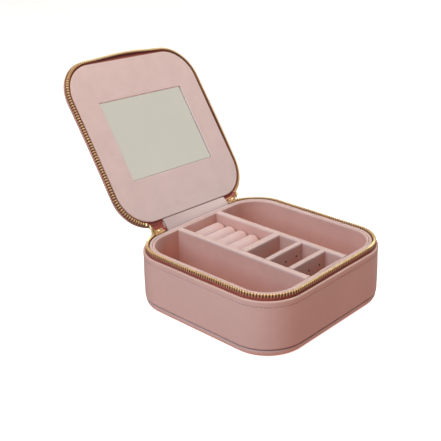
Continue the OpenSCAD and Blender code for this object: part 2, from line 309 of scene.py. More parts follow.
class Nodes:
    """The node tree of a material or of the world, while it is being built."""

    def __init__(self, owner, end, coordinate):
        owner.use_nodes = True
        self.tree = owner.node_tree
        self.end = self.tree.nodes[end]
        self.place = self.add("ShaderNodeTexCoord").outputs[coordinate]

    def add(self, kind, inputs=(), **settings):
        """A new node with its settings, and its inputs as feed takes them."""
        made = self.tree.nodes.new(kind)
        for name, value in settings.items():
            setattr(made, name, value)
        self.feed(made, inputs)
        return made

    def feed(self, node, inputs):
        """Gives a node's inputs their values, or links them to other nodes' outputs."""
        for name, value in dict(inputs).items():
            if isinstance(value, bpy.types.NodeSocket):
                self.tree.links.new(value, node.inputs[name])
            else:
                node.inputs[name].default_value = value

    def finish(self, inputs):
        self.feed(self.end, inputs)

    def noise(self, scale, detail=3.0, roughness=0.55):
        inputs = {"Scale": scale, "Detail": detail, "Roughness": roughness, "Vector": self.place}
        return self.add("ShaderNodeTexNoise", inputs).outputs["Fac"]

    def height(self):
        return self.add("ShaderNodeSeparateXYZ", {"Vector": self.place}).outputs["Z"]

    def ramp(self, value, stops):
        """A colour by a value, with stops of (value, colour)."""
        made = self.add("ShaderNodeValToRGB", {"Fac": value})
        elements = made.color_ramp.elements
        while len(elements) < len(stops):
            elements.new(1.0)
        for element, (position, color) in zip(elements, stops):
            element.position = position
            element.color = (*color, 1)
        return made.outputs["Color"]

    def tones(self, value, dark, light):
        """A colour that goes from dark to light over the middle of a noise's range."""
        return self.ramp(value, ((0.35, dark), (0.65, light)))

    def mix(self, factor, first, second, kind="MIX"):
        inputs = {"Factor": factor, "A": first, "B": second}
        made = self.add("ShaderNodeMix", inputs, data_type="RGBA", blend_type=kind)
        return made.outputs["Result"]

    def ranged(self, value, low, high, start=0.3, stop=0.7):
        """A value between low and high, as another goes from start to stop."""
        inputs = {"Value": value, "From Min": start, "From Max": stop, "To Min": low, "To Max": high}
        return self.add("ShaderNodeMapRange", inputs).outputs["Result"]

    def bump(self, height, distance, strength, below=None):
        """Relief on the surface, on top of the relief below."""
        inputs = {"Height": height, "Distance": distance, "Strength": strength}
        if below:
            inputs["Normal"] = below
        normal = self.add("ShaderNodeBump", inputs).outputs["Normal"]
        self.finish({"Normal": normal})
        return normal


def new_material(name):
    """A material and its nodes, whose places are in metres."""
    made = bpy.data.materials.new(name)
    return made, Nodes(made, "Principled BSDF", "Object")


def shade(color, by):
    return tuple(channel * by for channel in color)


def gray(value):
    return (value, value, value)


def leatherette(name, color):
    """Smooth coated leatherette with a fine pebbled grain."""
    made, nodes = new_material(name)
    tone = nodes.noise(18)
    mottle = nodes.noise(260)
    large = nodes.tones(tone, shade(color, 0.98), shade(color, 1.02))
    small = nodes.tones(mottle, gray(0.97), gray(1))
    grain = nodes.add("ShaderNodeTexVoronoi", {"Scale": 1300, "Vector": nodes.place})
    first = nodes.bump(grain.outputs["Distance"], 0.06 * MM, 0.35)
    nodes.bump(tone, 0.6 * MM, 0.06, first)
    nodes.finish({
        "Base Color": nodes.mix(1.0, large, small, "MULTIPLY"),
        "Roughness": nodes.ranged(mottle, 0.42, 0.54),
        "Specular IOR Level": 0.42,
    })
    return made


def napped(name, color, sheen=0.25, nap=2520, streak=60, highlight_color=None):
    """Short-nap cloth: brushed patches, fine fibres and a soft sheen. Given a highlight colour, it is painted
    paler towards the tray's rim top: a painted highlight where light falls on the top faces."""
    made, nodes = new_material(name)
    patches = nodes.noise(streak, 4)
    fibres = nodes.noise(nap, 2, 0.7)
    large = nodes.tones(patches, shade(color, 0.965), shade(color, 1.025))
    # Painted highlight: the colour turns paler towards the rim top, where light falls on the top faces.
    if highlight_color:
        highlight_mask = nodes.ranged(nodes.height(), 0, 1, RIM_HIGH.z - 2.5 * MM, RIM_HIGH.z - 0.2 * MM)
        pale = nodes.tones(patches, shade(highlight_color, 0.96), shade(highlight_color, 1.03))
        large = nodes.mix(highlight_mask, large, pale)
    small = nodes.tones(fibres, gray(0.86), gray(1))
    first = nodes.bump(fibres, 0.08 * MM, 0.5)
    nodes.bump(patches, 0.15 * MM, 0.1, first)
    nodes.finish({
        "Base Color": nodes.mix(0.8, large, small, "MULTIPLY"),
        "Roughness": nodes.ranged(patches, 0.88, 1.0),
        "Sheen Weight": sheen,
        "Sheen Roughness": 0.45,
        "Sheen Tint": (1.0, 0.93, 0.92, 1),
        "Specular IOR Level": 0.15,
    })
    return made


def woven(name, color):
    """Twill zip tape: fine crossed ribs."""
    made, nodes = new_material(name)
    rib = {"Scale": 520, "Distortion": 0.6, "Detail": 1, "Vector": nodes.place}
    ribs = [nodes.add("ShaderNodeTexWave", rib, bands_direction=direction).outputs["Color"]
            for direction in ("X", "Y", "Z")]
    crossed = nodes.mix(0.6, ribs[0], ribs[1], "MULTIPLY")
    crossed = nodes.mix(0.6, crossed, ribs[2], "MULTIPLY")
    tone = nodes.tones(nodes.noise(200), shade(color, 0.85), color)
    nodes.bump(crossed, 0.1 * MM, 0.5)
    nodes.finish({
        "Base Color": nodes.mix(0.25, tone, crossed, "MULTIPLY"),
        "Roughness": 0.85,
        "Sheen Weight": 0.25,
    })
    return made


def brass(name, color):
    """Polished gold-coloured metal with light handling marks."""
    made, nodes = new_material(name)
    wear = nodes.noise(700, 4)
    nodes.bump(wear, 0.02 * MM, 0.2)
    nodes.finish({
        "Base Color": nodes.tones(wear, shade(color, 0.88), color),
        "Roughness": nodes.ranged(wear, 0.26, 0.38),
        "Metallic": 0.8,
    })
    return made


def silvered(name, color):
    """A glass mirror with the faintest haze."""
    made, nodes = new_material(name)
    haze = nodes.noise(30)
    nodes.finish({
        "Base Color": nodes.tones(haze, shade(color, 0.985), color),
        "Roughness": nodes.ranged(haze, 0.02, 0.04),
        "Metallic": 1,
    })
    return made


def card(name, color):
    """Grey board with flecks of fibre."""
    made, nodes = new_material(name)
    flecks = nodes.noise(900)
    nodes.bump(flecks, 0.05 * MM, 0.3)
    nodes.finish({"Base Color": nodes.tones(flecks, shade(color, 0.8), color), "Roughness": 0.9})
    return made


PINK = (0.66, 0.49, 0.48)
# Painted lit and shaded copies of one lining suede: paler on the lid, where light falls, and deeper and redder in
# the tray's shaded walls, dividers and floor.
SUEDE_LIT_COPY = (0.79, 0.695, 0.735)
# Painted highlight: the paler colour of the tray cloth along its lit rim top.
SUEDE_RIM_HIGHLIGHT = (0.75, 0.615, 0.64)
SUEDE_FLOOR_SHADED_COPY = (0.74, 0.50, 0.47)
SUEDE_SHADED_COPY = (0.735, 0.45, 0.41)
VELVET = (0.77, 0.635, 0.69)
TAPE = (0.50, 0.12, 0.10)
GOLD = (1.0, 0.80, 0.47)
SILVER = (0.95, 0.95, 0.94)
BOARD = (0.42, 0.38, 0.35)

LEATHERETTE = leatherette("leatherette", PINK)
THREAD = napped("thread", shade(PINK, 0.8), sheen=0.2, nap=5400)
# Lit, shaded and floor copies of the one suede, painted for how light falls on them; the tray's copy gets a
# painted highlight along its rim top.
LIT_COPY_SUEDE_CLOTH = napped("suede_lit_copy", SUEDE_LIT_COPY)
SHADED_SUEDE_LIT_RIM_CLOTH = napped("suede_shaded_copy_lit_rim", SUEDE_SHADED_COPY, highlight_color=SUEDE_RIM_HIGHLIGHT)
FLOOR_SHADED_COPY_CLOTH = napped("floor_suede_shaded_copy", SUEDE_FLOOR_SHADED_COPY)
VELVET_CLOTH = napped("velvet", VELVET, sheen=0.55, nap=1800, streak=90)
TAPE_CLOTH = woven("zip_tape", TAPE)
# Painted shade: the cord is the tape's colour darkened to 30%, for the shadow between the teeth.
CORD_CLOTH_PAINTED_SHADE = woven("zip_cord_painted_shade", shade(TAPE, 0.3))
BRASS = brass("brass", GOLD)
MIRROR_GLASS = silvered("mirror_glass", SILVER)
CARD = card("board", BOARD)
# Near-black board: the raw board edge, darkened as painted shade inside the stud holes and as the painted shadow
# along the mirror's window.
RAW_EDGE_AND_SHADE = card("raw_edge_and_painted_shade", shade(BOARD, 0.12))

INNER_NODES = {
    "base_bottom_board": CARD,
    "base_frame_board": TAPE_CLOTH,
    "lid_board": CARD,
    "lid_padding": CARD,
    "lid_frame_board": TAPE_CLOTH,
    "mirror_surround": TAPE_CLOTH,
    "mirror": MIRROR_GLASS,
}


def cover_inner_nodes():
    """The CAD nodes whose shape is already right get their finish."""
    for name, finish in INNER_NODES.items():
        node = frame["nodes"][name]
        node.data.materials.clear()
        node.data.materials.append(finish)


# ---- The base ----

MIDDLE = HALF - 1 * MM    # panels end this far in, where a small face closes them
FLAT_IN = 50 * MM
SEAM_DROP = 4.7 * MM      # the hem's stitch line below the wall's top edge
SEAM_DEPTH = 0.3 * MM
HEM_PROUD = 0.12 * MM


def bottom_panel():
    foot_r = 5.4 * MM
    rim_in = 7.4 * MM
    skin = 1.2 * MM
    corners = [
        (MIDDLE, 0, 0), (FLAT_IN, 0, 0), (foot_r * 2, 0, 0), (0, 0, foot_r),
        (0, BOTTOM_TOP, 0.6 * MM), (rim_in, BOTTOM_TOP, 0), (rim_in, skin, 0), (MIDDLE, skin, 0),
    ]
    outline = rounded(corners, steps=8, longest=8 * MM)
    verts, faces = disc_sweep(up_to(outline, MIDDLE, skin))
    piece("bottom_panel", verts, faces, LEATHERETTE, "base", ["base_bottom_cover"])


def wall_belly(s, z):
    """The wall swells a little below its hem."""
    return 0.45 * MM * smoothstep(WALL_TOP - SEAM_DROP, WALL_TOP / 2, z), 0


def wall_covering():
    foot = WALL_LOW.z + 0.3 * MM
    seam = WALL_TOP - SEAM_DROP
    half_seam = 0.55 * MM
    edge_r = 1.05 * MM
    fold_r = 0.3 * MM
    corners = [
        (0, foot, edge_r), (0, seam - half_seam, fold_r), (SEAM_DEPTH, seam, fold_r),
        (-HEM_PROUD, seam + half_seam, fold_r), (-HEM_PROUD, WALL_TOP, edge_r),
        (WALL_T, WALL_TOP, edge_r), (WALL_T, foot, fold_r),
    ]
    verts, faces = ring_sweep(rounded(corners), wall_belly)
    piece("wall_covering", verts, faces, LEATHERETTE, "base", ["base_wall"],
          ruffle=(0.13 * MM, 28 * MM, 1.7))


def hem_stitches():
    """A row of short stitches lying in the hem's seam."""
    inset = SEAM_DEPTH * 0.6
    z = WALL_TOP - SEAM_DROP
    stitch_pitch = 3.1 * MM
    stitch = 2.3 * MM
    thread_r = 0.2 * MM
    swell = 0.12 * MM
    count = round(TRACK / stitch_pitch)
    sides = 6
    steps = 5
    verts, faces = [], []
    for number in range(count):
        faces += shifted(tube_faces(steps + 1, sides), len(verts))
        for i in range(steps + 1):
            t = i / steps
            s = (number + 0.5) * TRACK / count + (t - 0.5) * stitch
            lift = 4 * t * (1 - t)
            radius = thread_r * (0.35 + 0.65 * lift ** 0.5)
            for k in range(sides):
                angle = 2 * math.pi * k / sides
                sink = inset - lift * swell - radius * math.cos(angle)
                verts.append(case_point(s, sink, z + radius * math.sin(angle)))
    piece("hem_stitches", verts, faces, THREAD, "base")


# ---- The zip and the tray ----

def end_fade(s):
    """1 along the front and sides, 0 near the sliders."""
    s = s % TRACK
    near, far = 60 * MM, 110 * MM
    return smoothstep(near, far, s) * smoothstep(near, far, TRACK - s)


def ripple(s, waves):
    """Waves along the zip, each with its size, its number per round and its phase."""
    return sum(size * math.sin(2 * math.pi * s / TRACK * number + phase)
               for size, number, phase in waves)


def bows(s, places):
    """Single bows, each with its size, its place along the zip and its reach."""
    return sum(size * math.exp(-((s - middle) / reach) ** 2) for size, middle, reach in places)


TAPE_LEAN = ((0.22 * MM, 5, 0.6), (0.16 * MM, 9, 2.1))
TAPE_RISE = ((0.14 * MM, 7, 1.0),)
LID_TAPE_LEAN = ((0.2 * MM, 6, 1.9),)
LID_TAPE_BOWS = ((2.3 * MM, 272 * MM, 36 * MM), (1.1 * MM, 400 * MM, 34 * MM))
TRAY_SAG = ((-0.9 * MM, 262 * MM, 9 * MM), (-0.7 * MM, 278 * MM, 7 * MM))
TRAY_LIFT = ((0.3 * MM, 270 * MM, 5 * MM),)


def zip_wave(s, z):
    """The base's tape isn't quite straight: it leans out and in a little along the way."""
    free = smoothstep(TAPE_LOW.z, ZIP_Z, z) * end_fade(s)
    return ripple(s, TAPE_LEAN) * free, ripple(s, TAPE_RISE) * free


def lid_wave(s, z):
    """The lid's tape bows out along its free edges, where nothing holds it."""
    free = smoothstep(LID_TAPE_HIGH, ZIP_Z, z) * end_fade(s)
    return (bows(s % TRACK, LID_TAPE_BOWS) + ripple(s, LID_TAPE_LEAN)) * free, 0


def tray_wave(s, z):
    """The tray's cloth has come away a little from the rim in front of the small boxes."""
    free = smoothstep(RIM_HIGH.z - 9 * MM, RIM_HIGH.z, z)
    return bows(s, TRAY_SAG) * free, bows(s, TRAY_LIFT) * free


def flat_profile(thick, low, high, bevel):
    """The outline of something flat that stands in the zip's line."""
    inner, outer = ZIP_INSET + thick / 2, ZIP_INSET - thick / 2
    corners = [(outer, low, bevel), (outer, high, bevel), (inner, high, bevel), (inner, low, bevel)]
    return rounded(corners, steps=3, longest=0.8 * MM)


def tape_profile(low, high):
    """A zip tape from its glued edge to the cord."""
    return flat_profile(TAPE_T, low, high, 0.1 * MM)


def cord_profile(foot, head):
    """The cord along the tape's edge, which the teeth clamp."""
    return flat_profile(1.4 * MM, foot, head, 0.45 * MM)


def zip_tape(name, low, foot, head, shift, body, stands_for, first):
    """A tape from low to the cord, which fills the teeth from their foot up to head."""
    stops = part_stops(first, TRACK - first)
    verts, faces = part_sweep(stops, tape_profile(low, foot), shift)
    piece(name, verts, faces, TAPE_CLOTH, body, stands_for)
    verts, faces = part_sweep(stops, cord_profile(foot, head), shift)
    piece(f"{name}_cord", verts, faces, CORD_CLOTH_PAINTED_SHADE, body)


TOOTH_LEVELS = (
    # height above the foot, half width, half depth, in millimetres
    (0.0, 0.30, 0.92), (0.15, 0.44, 1.08), (1.2, 0.48, 1.15), (1.6, 0.60, 1.14),
    (2.1, 0.62, 1.08), (2.6, 0.48, 1.0), (2.85, 0.30, 0.7),
)
TOOTH_H = TOOTH_LEVELS[-1][0] * MM
TOOTH_CHAMFER = 0.34


def add_tooth(verts, faces, foot, along, out, up):
    """One tooth: two legs that clamp the tape, a waist and a head."""
    sides = 8
    faces += shifted(tube_faces(len(TOOTH_LEVELS), sides), len(verts))
    for height, width, depth in TOOTH_LEVELS:
        cut = TOOTH_CHAMFER * min(width, depth)
        section = [
            (width - cut, depth), (width, depth - cut), (width, cut - depth), (width - cut, -depth),
            (cut - width, -depth), (-width, cut - depth), (-width, depth - cut), (cut - width, depth),
        ]
        for x, y in section:
            verts.append(foot + (along * x + out * y + up * height) * MM)


def row_mesh(places, foot_z, up_sign, shift=no_wave, size=1.0):
    """Teeth at their places along the zip."""
    verts, faces = [], []
    up = Vector((0, 0, up_sign))
    for s in places:
        out_by, up_by = shift(s, ZIP_Z)
        foot = case_point(s, ZIP_INSET - out_by, foot_z + up_by)
        _, way_out = station(s)
        out = Vector((way_out.x, way_out.y, 0))
        add_tooth(verts, faces, foot, out.cross(up) * size, out * size, up)
    return verts, faces


def tooth_places():
    count = round((TRACK - 2 * TEETH_FROM) / PITCH)
    step = (TRACK - 2 * TEETH_FROM) / count
    return [TEETH_FROM + i * step for i in range(count + 1)], step


STOP_BACK = 1.35 * MM
STOP_SIZE = 1.08
CORD_H = 1.9 * MM         # the tape's cord reaches this far up the teeth
TAPE_FROM = TEETH_FROM - 2 * MM


def base_zip():
    foot = ZIP_Z - TOOTH_GAP - TOOTH_H
    places, _ = tooth_places()
    zip_tape("zip_tape_lower", TAPE_LOW.z, foot, foot + CORD_H, zip_wave, "base", ["base_zip_tape"],
             TAPE_FROM)
    verts, faces = row_mesh(places, foot, 1, zip_wave)
    piece("zip_teeth_lower", verts, faces, BRASS, "base", ["base_zip_teeth"], sharp=30)
    ends = [TEETH_FROM - STOP_BACK, TRACK - TEETH_FROM + STOP_BACK]
    verts, faces = row_mesh(ends, foot, 1, size=STOP_SIZE)
    piece("zip_stops_lower", verts, faces, BRASS, "base", ["base_zip_stops"])


def liner():
    inner = LINER_INSET + LINER_T
    corners = [
        (LINER_INSET, RIM_LOW.z, 0.2 * MM), (LINER_INSET - 0.3 * MM, WALL_TOP, 0.5 * MM),
        (LINER_INSET - 0.3 * MM, RIM_HIGH.z, 1.1 * MM),
        (inner, RIM_HIGH.z, 0.9 * MM), (inner, RIM_LOW.z, 0.2 * MM),
    ]
    verts, faces = ring_sweep(rounded(corners, steps=6))
    piece("liner_rim", verts, faces, SHADED_SUEDE_LIT_RIM_CLOTH, "base", ["base_liner"],
          ruffle=(0.12 * MM, 16 * MM, 4.1))


def tray_wall():
    inner = HALF - WELL - 0.1 * MM
    top = TRAY_HIGH.z
    corners = [
        (TRAY_INSET, RIM_LOW.z, 0.2 * MM), (TRAY_INSET, top, 0.8 * MM),
        (inner, top, 0.9 * MM), (inner, RIM_LOW.z, 0.2 * MM),
    ]
    verts, faces = ring_sweep(rounded(corners, steps=6), tray_wave)
    piece("tray_wall_cloth", verts, faces, SHADED_SUEDE_LIT_RIM_CLOTH, "base", ["tray_wall"],
          ruffle=(0.16 * MM, 20 * MM, 7.3))


def tray_floor():
    edge = HALF - WELL
    low, high = FLOOR_LOW.z, FLOOR_HIGH.z
    corners = [(MIDDLE, low, 0), (FLAT_IN, low, 0), (edge, low, 0.3 * MM), (edge, high, 0.9 * MM),
               (FLAT_IN, high, 0), (MIDDLE, high, 0)]
    outline = rounded(corners, longest=5 * MM)
    verts, faces = disc_sweep(up_to(outline, MIDDLE, high))
    piece("tray_floor_cloth", verts, faces, FLOOR_SHADED_COPY_CLOTH, "base", ["tray_floor"],
          ruffle=(0.1 * MM, 22 * MM, 2.2))


def divider(name, node):
    """A covered board, with the cloth folded softly over its top edges."""
    low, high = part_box(node)
    middle = (low + high) / 2
    size = high - low
    lengthwise = size.y > size.x
    length, thick = max(size.x, size.y), min(size.x, size.y)
    half_t = thick / 2
    foot_r, edge_r = 0.2 * MM, 1 * MM
    corners = [(-half_t, low.z, foot_r), (-half_t, high.z, edge_r), (half_t, high.z, edge_r),
               (half_t, low.z, foot_r)]
    outline = rounded(corners, steps=6)
    steps = max(16, round(length / (2 * MM)))
    verts = []
    for i in range(steps + 1):
        along = (i / steps - 0.5) * length
        for across, z in outline:
            shift = Vector((across, along, 0)) if lengthwise else Vector((-along, across, 0))
            verts.append(Vector((middle.x, middle.y, z)) + shift)
    faces = tube_faces(steps + 1, len(outline))
    return piece(name, verts, faces, SHADED_SUEDE_LIT_RIM_CLOTH, "base", [node],
                 ruffle=(0.13 * MM, 17 * MM, middle.x * 90 + middle.y * 40))


def cut(target, cutter):
    """Cuts one mesh out of another for good."""
    change = target.modifiers.new("cut", "BOOLEAN")
    change.operation = "DIFFERENCE"
    change.solver = "EXACT"
    change.object = cutter
    bpy.context.view_layer.update()
    graph = bpy.context.evaluated_depsgraph_get()
    result = bpy.data.meshes.new_from_object(target.evaluated_get(graph))
    target.modifiers.clear()
    target.data = result
    bpy.data.objects.remove(cutter)


HOLE_SIDES = 24


def disc(x, y, radius):
    turns = [2 * math.pi * k / HOLE_SIDES for k in range(HOLE_SIDES)]
    return [(x + radius * math.cos(a), y + radius * math.sin(a)) for a in turns]


def stud_places(low, high):
    """Where the holes through a divider are, with their radius, from its mounts."""
    bores = [mount for mount in frame["record"]["mounts"] if mount["kind"] == "bore"]
    return [(Vector(mount["pos_m"]), mount["dims"]["r_mm"] * MM) for mount in bores
            if low.y < mount["pos_m"][1] < high.y]


def circle_points(place, radius, y):
    return [Vector((x, y, z)) for x, z in disc(place.x, place.z, radius)]


def stud_divider(name, node):
    """A divider with the holes that its mounts say."""
    board = divider(name, node)
    low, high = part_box(node)
    for place, radius in stud_places(low, high):
        verts = circle_points(place, radius, low.y - MM) + circle_points(place, radius, high.y + MM)
        mesh = solid_mesh("cutter", verts, tube_faces(2, HOLE_SIDES))
        cutter = bpy.data.objects.new("cutter", mesh)
        bpy.context.scene.collection.objects.link(cutter)
        cut(board, cutter)
    board.data.set_sharp_from_angle(angle=math.radians(40))


def stud_sleeves(name, node):
    """Sleeves inside the holes: the raw board edge, darkened to near black as painted shade in the holes."""
    low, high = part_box(node)
    inside = 0.05 * MM
    verts, faces = [], []
    for place, radius in stud_places(low, high):
        faces += shifted(grid_faces(4, HOLE_SIDES, wrap_rows=True), len(verts))
        outer, inner = radius - 0.02 * MM, radius - 0.15 * MM
        verts += circle_points(place, outer, low.y + inside)
        verts += circle_points(place, outer, high.y - inside)
        verts += circle_points(place, inner, high.y - inside)
        verts += circle_points(place, inner, low.y + inside)
    piece(name, verts, faces, RAW_EDGE_AND_SHADE, "base")


def ring_roll(number):
    """A velvet roll, pressed flat where it meets its neighbours, with soft round ends."""
    low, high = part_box(f"ring_roll_{number}")
    middle = (low + high) / 2
    radius = (high.z - low.z) / 2
    length = high.x - low.x
    end_r = 4.2 * MM
    pressed = 0.75
    sides = 48
    steps = 40
    verts = []
    for i in range(steps + 1):
        t = i / steps
        along = length * 0.5 * (1 - math.cos(math.pi * t))
        inside = min(along, length - along, end_r)
        drop = end_r - math.sqrt(max(0.0, end_r ** 2 - (end_r - inside) ** 2))
        for k in range(sides):
            angle = 2 * math.pi * k / sides
            reach = radius - drop
            side = math.tanh(math.cos(angle) * pressed) / math.tanh(pressed)
            y = middle.y + reach * side
            z = middle.z + reach * math.sin(angle)
            verts.append(Vector((low.x + along, y, z)))
    made = piece(f"velvet_roll_{number}", verts, tube_faces(steps + 1, sides), VELVET_CLOTH, "base",
                 [f"ring_roll_{number}"], ruffle=(0.22 * MM, 12 * MM, 3.0 + number * 1.9))


def ring_pad():
    """The foam bed under the rolls."""
    low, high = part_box("ring_pad")
    middle = (low + high) / 2
    half = (high - low) / 2
    steps = 14
    edge = 1.2 * MM
    verts = []
    for z_sign in (-1, 1):
        for i in range(steps + 1):
            for j in range(steps + 1):
                u, v = 2 * i / steps - 1, 2 * j / steps - 1
                pull = edge * (u ** 8 + v ** 8) / 2
                verts.append(middle + Vector((u * half.x, v * half.y, z_sign * (half.z - pull))))
    row = steps + 1
    count = row ** 2
    faces = grid_faces(row, row, wrap_columns=False)
    faces += shifted(faces, count)
    rim = list(range(row)) + [i * row + steps for i in range(1, row)]
    rim += [steps * row + steps - i for i in range(1, row)] + [(steps - i) * row for i in range(1, steps)]
    for a, b in zip(rim, rim[1:] + rim[:1]):
        faces.append((a, b, count + b, count + a))
    made = piece("ring_foam_bed", verts, faces, VELVET_CLOTH, "base", ["ring_pad"])


# ---- The hinge ----

LINING_Y = HALF - LINER_INSET + 0.5 * MM
STRIP_Y = HALF - ZIP_INSET
LINING_GAP = 0.95 * MM    # from the suede panel's edge to the middle of the lining
LINING_FLARE = 1.05       # the lining's left half is a little wider at the lid
STRIP_T = 0.8 * MM


def bent_line(root, rim, rise, edge, drop, tuck):
    """From the root straight to the rim, over a bend to the edge, and straight to the tuck."""
    steps = 10
    line = [root, root.lerp(rim, 0.5)]
    for i in range(steps + 1):
        t = i / steps
        u = 1 - t
        line.append(u ** 3 * rim + 3 * u * u * t * (rim + rise) + 3 * u * t * t * (edge + drop)
                    + t ** 3 * edge)
    return line + [edge.lerp(tuck, 0.5), tuck]


def lining_line(x):
    """The lining runs from behind the liner's rim up to the back of the suede panel."""
    root = Vector((x, LINING_Y, RIM_HIGH.z - 3.6 * MM))
    rim = Vector((x, LINING_Y, RIM_HIGH.z - 0.2 * MM))
    wide = min(x, x * LINING_FLARE)
    edge = OPENED @ Vector((wide, PANEL_HIGH.y + LINING_GAP, PANEL_LOW.z + 0.3 * MM))
    tuck = OPENED @ Vector((wide, LINING_Y, LID_WALL_LOW.z - 1.4 * MM))
    rise = Vector((0, 0.1 * MM, 2.2 * MM))
    return bent_line(root, rim, rise, edge, (rim - edge).normalized() * 2 * MM, tuck)


def outer_line(x):
    """The outside strip runs from inside the base's hem to inside the lid's wall."""
    root = Vector((x, STRIP_Y, TAPE_LOW.z))
    hem = Vector((x, STRIP_Y, WALL_TOP + 0.3 * MM))
    lid_hem = OPENED @ Vector((x, STRIP_Y, LID_WALL_LOW.z - 0.4 * MM))
    tuck = OPENED @ Vector((x, STRIP_Y, LID_TAPE_HIGH))
    rise = Vector((0, 0, 2.4 * MM))
    return bent_line(root, hem, rise, lid_hem, (lid_hem - tuck).normalized() * 2.4 * MM, tuck)


def line_length(points):
    return sum((b - a).length for a, b in zip(points, points[1:]))


def hinge_sheet(name, line_at, material):
    """A strip of sheet across the back. line_at(x) gives its line, as points, from the base up."""
    nodes = [f"{name}_lower", f"{name}_upper"]
    low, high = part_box(nodes[0])
    width = high.x - low.x
    columns = 48
    verts = []
    for i in range(columns + 1):
        line = line_at(low.x + width * i / columns)
        ways = [b - a for a, b in zip(line[:1] + line[:-1], line[1:] + line[-1:])]
        offsets = [Vector((0, -way.z, way.y)).normalized() * STRIP_T / 2 for way in ways]
        verts += [point + offset for point, offset in zip(line, offsets)]
        verts += reversed([point - offset for point, offset in zip(line, offsets)])
    faces = tube_faces(columns + 1, 2 * len(line))
    made = piece(name, verts, faces, material, None, nodes, sharp=50)
    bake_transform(made)
    line_length(line_at(0))


def hinge_strips():
    hinge_sheet("hinge_lining", lining_line, LIT_COPY_SUEDE_CLOTH)
    hinge_sheet("hinge_strip", outer_line, LEATHERETTE)


# ---- The lid ----

def lid_belly(s, z):
    """The lid is a little fuller at its corners than along its sides."""
    return -0.4 * MM * math.cos(2 * math.pi * s / QUARTER), 0


def lid_outside(low, high):
    """The lid's soft round outer edge between two heights, as (inset, z, 0)."""
    steps = 10
    found = []
    for i in range(steps + 1):
        z = low + (high - low) * i / steps
        reach = math.sqrt(max(0.0, LID_R ** 2 - (z - LID_ROUND_Z) ** 2))
        found.append((LID_ROUND_IN - reach, z, 0))
    return found


def lid_wall():
    low, high = LID_WALL_LOW.z, LID_WALL_HIGH.z
    hem_r = 0.45 * MM
    inner = ZIP_INSET - TAPE_T / 2 - 0.1 * MM
    tuck = ZIP_INSET + TAPE_T / 2
    outside = lid_outside(low + 0.25 * MM, high)
    corners = outside + [
        (tuck, high, 0), (tuck, LID_TAPE_HIGH + 0.1 * MM, 0), (inner, LID_TAPE_HIGH + 0.1 * MM, 0),
        (inner, low, hem_r), (outside[0][0] + 0.35 * MM, low, 0.2 * MM),
    ]
    verts, faces = ring_sweep(rounded(corners, longest=0.8 * MM), lid_belly)
    piece("lid_wall_covering", verts, faces, LEATHERETTE, "lid", ["lid_wall"],
          ruffle=(0.08 * MM, 26 * MM, 5.2))


def lid_top():
    """The padded top panel, which swells a little towards its middle."""
    low, high = LID_TOP_LOW.z, LID_TOP_HIGH.z
    rim_in = 7.9 * MM
    skin = 1 * MM
    swell = 0.9 * MM
    steps = 17
    top = []
    for i in range(steps):
        inset = MIDDLE + (LID_ROUND_IN - MIDDLE) * i / steps
        top.append((inset, high + swell * smoothstep(LID_ROUND_IN, 34 * MM, inset), 0))
    outside = lid_outside(low + 0.2 * MM, high)
    corners = top + outside[::-1] + [
        (outside[0][0] + 0.2 * MM, low, 0), (rim_in, low, 0), (rim_in, high - skin, 0),
        (MIDDLE, high - skin, 0),
    ]
    outline = rounded(corners, steps=8, longest=6 * MM)
    verts, faces = disc_sweep(up_to(outline, MIDDLE, high - skin), lid_belly)
    piece("lid_top_covering", verts, faces, LEATHERETTE, "lid", ["lid_top_panel"],
          ruffle=(0.1 * MM, 30 * MM, 8.8))


def window_point(direction, low, high, grow):
    """Where a ray from the window's middle meets its edge, grown outwards."""
    middle = (low + high) / 2
    half = (high - low) / 2 + Vector((grow, grow))
    reach = min(half.x / max(abs(direction.x), 1e-9), half.y / max(abs(direction.y), 1e-9))
    return middle + direction * reach


def suede_panel():
    """The lid's suede panel, with its cloth turned softly into the window for the mirror."""
    face, back = PANEL_LOW.z, PANEL_HIGH.z
    inset = HALF - PANEL_HIGH.x
    lap = Vector((MIRROR_LAP, MIRROR_LAP))
    low, high = MIRROR_LOW.xy + lap, MIRROR_HIGH.xy - lap
    middle = (low + high) / 2
    tries = 4000
    stops = [s % TRACK for s in loop_stops(straight_steps=40)]
    for corner in (Vector((x, y)) for x in (low.x, high.x) for y in (low.y, high.y)):
        stops.append(min((i * TRACK / tries for i in range(tries)),
                         key=lambda s: (case_point(s, inset, 0).xy - middle).angle(corner - middle)))
    rim = inset + 2 * MM
    outer = rounded([(rim, face, 0), (inset, face, 0.55 * MM), (inset, back, 0.2 * MM),
                     (rim, back, 0)], steps=6)
    outer = up_to(outer, rim, back)[::-1]
    turn_r = 0.4 * MM
    inner = [(turn_r * (1 - math.sin(a)), face + turn_r * (1 - math.cos(a)))
             for a in (math.pi / 2 * i / 5 for i in range(6))] + [(0, back)]
    rows = 14
    verts = []
    for s in sorted(stops):
        ray = (case_point(s, inset, 0).xy - middle).normalized()
        loop = [case_point(s, i, z) for i, z in outer]
        start = loop[-1].xy
        edge = window_point(ray, low, high, turn_r)
        loop += [Vector((*start.lerp(edge, k / rows), face)) for k in range(1, rows)]
        loop += [Vector((*window_point(ray, low, high, grow), z)) for grow, z in inner]
        verts += loop
    for vert in verts:
        if vert.z < face + turn_r:
            vert.z += noise.noise(vert / (24 * MM)) * 0.1 * MM
    faces = grid_faces(len(stops), len(loop), wrap_rows=True)
    piece("suede_panel", verts, faces, LIT_COPY_SUEDE_CLOTH, "lid", ["lid_panel"], sharp=60)


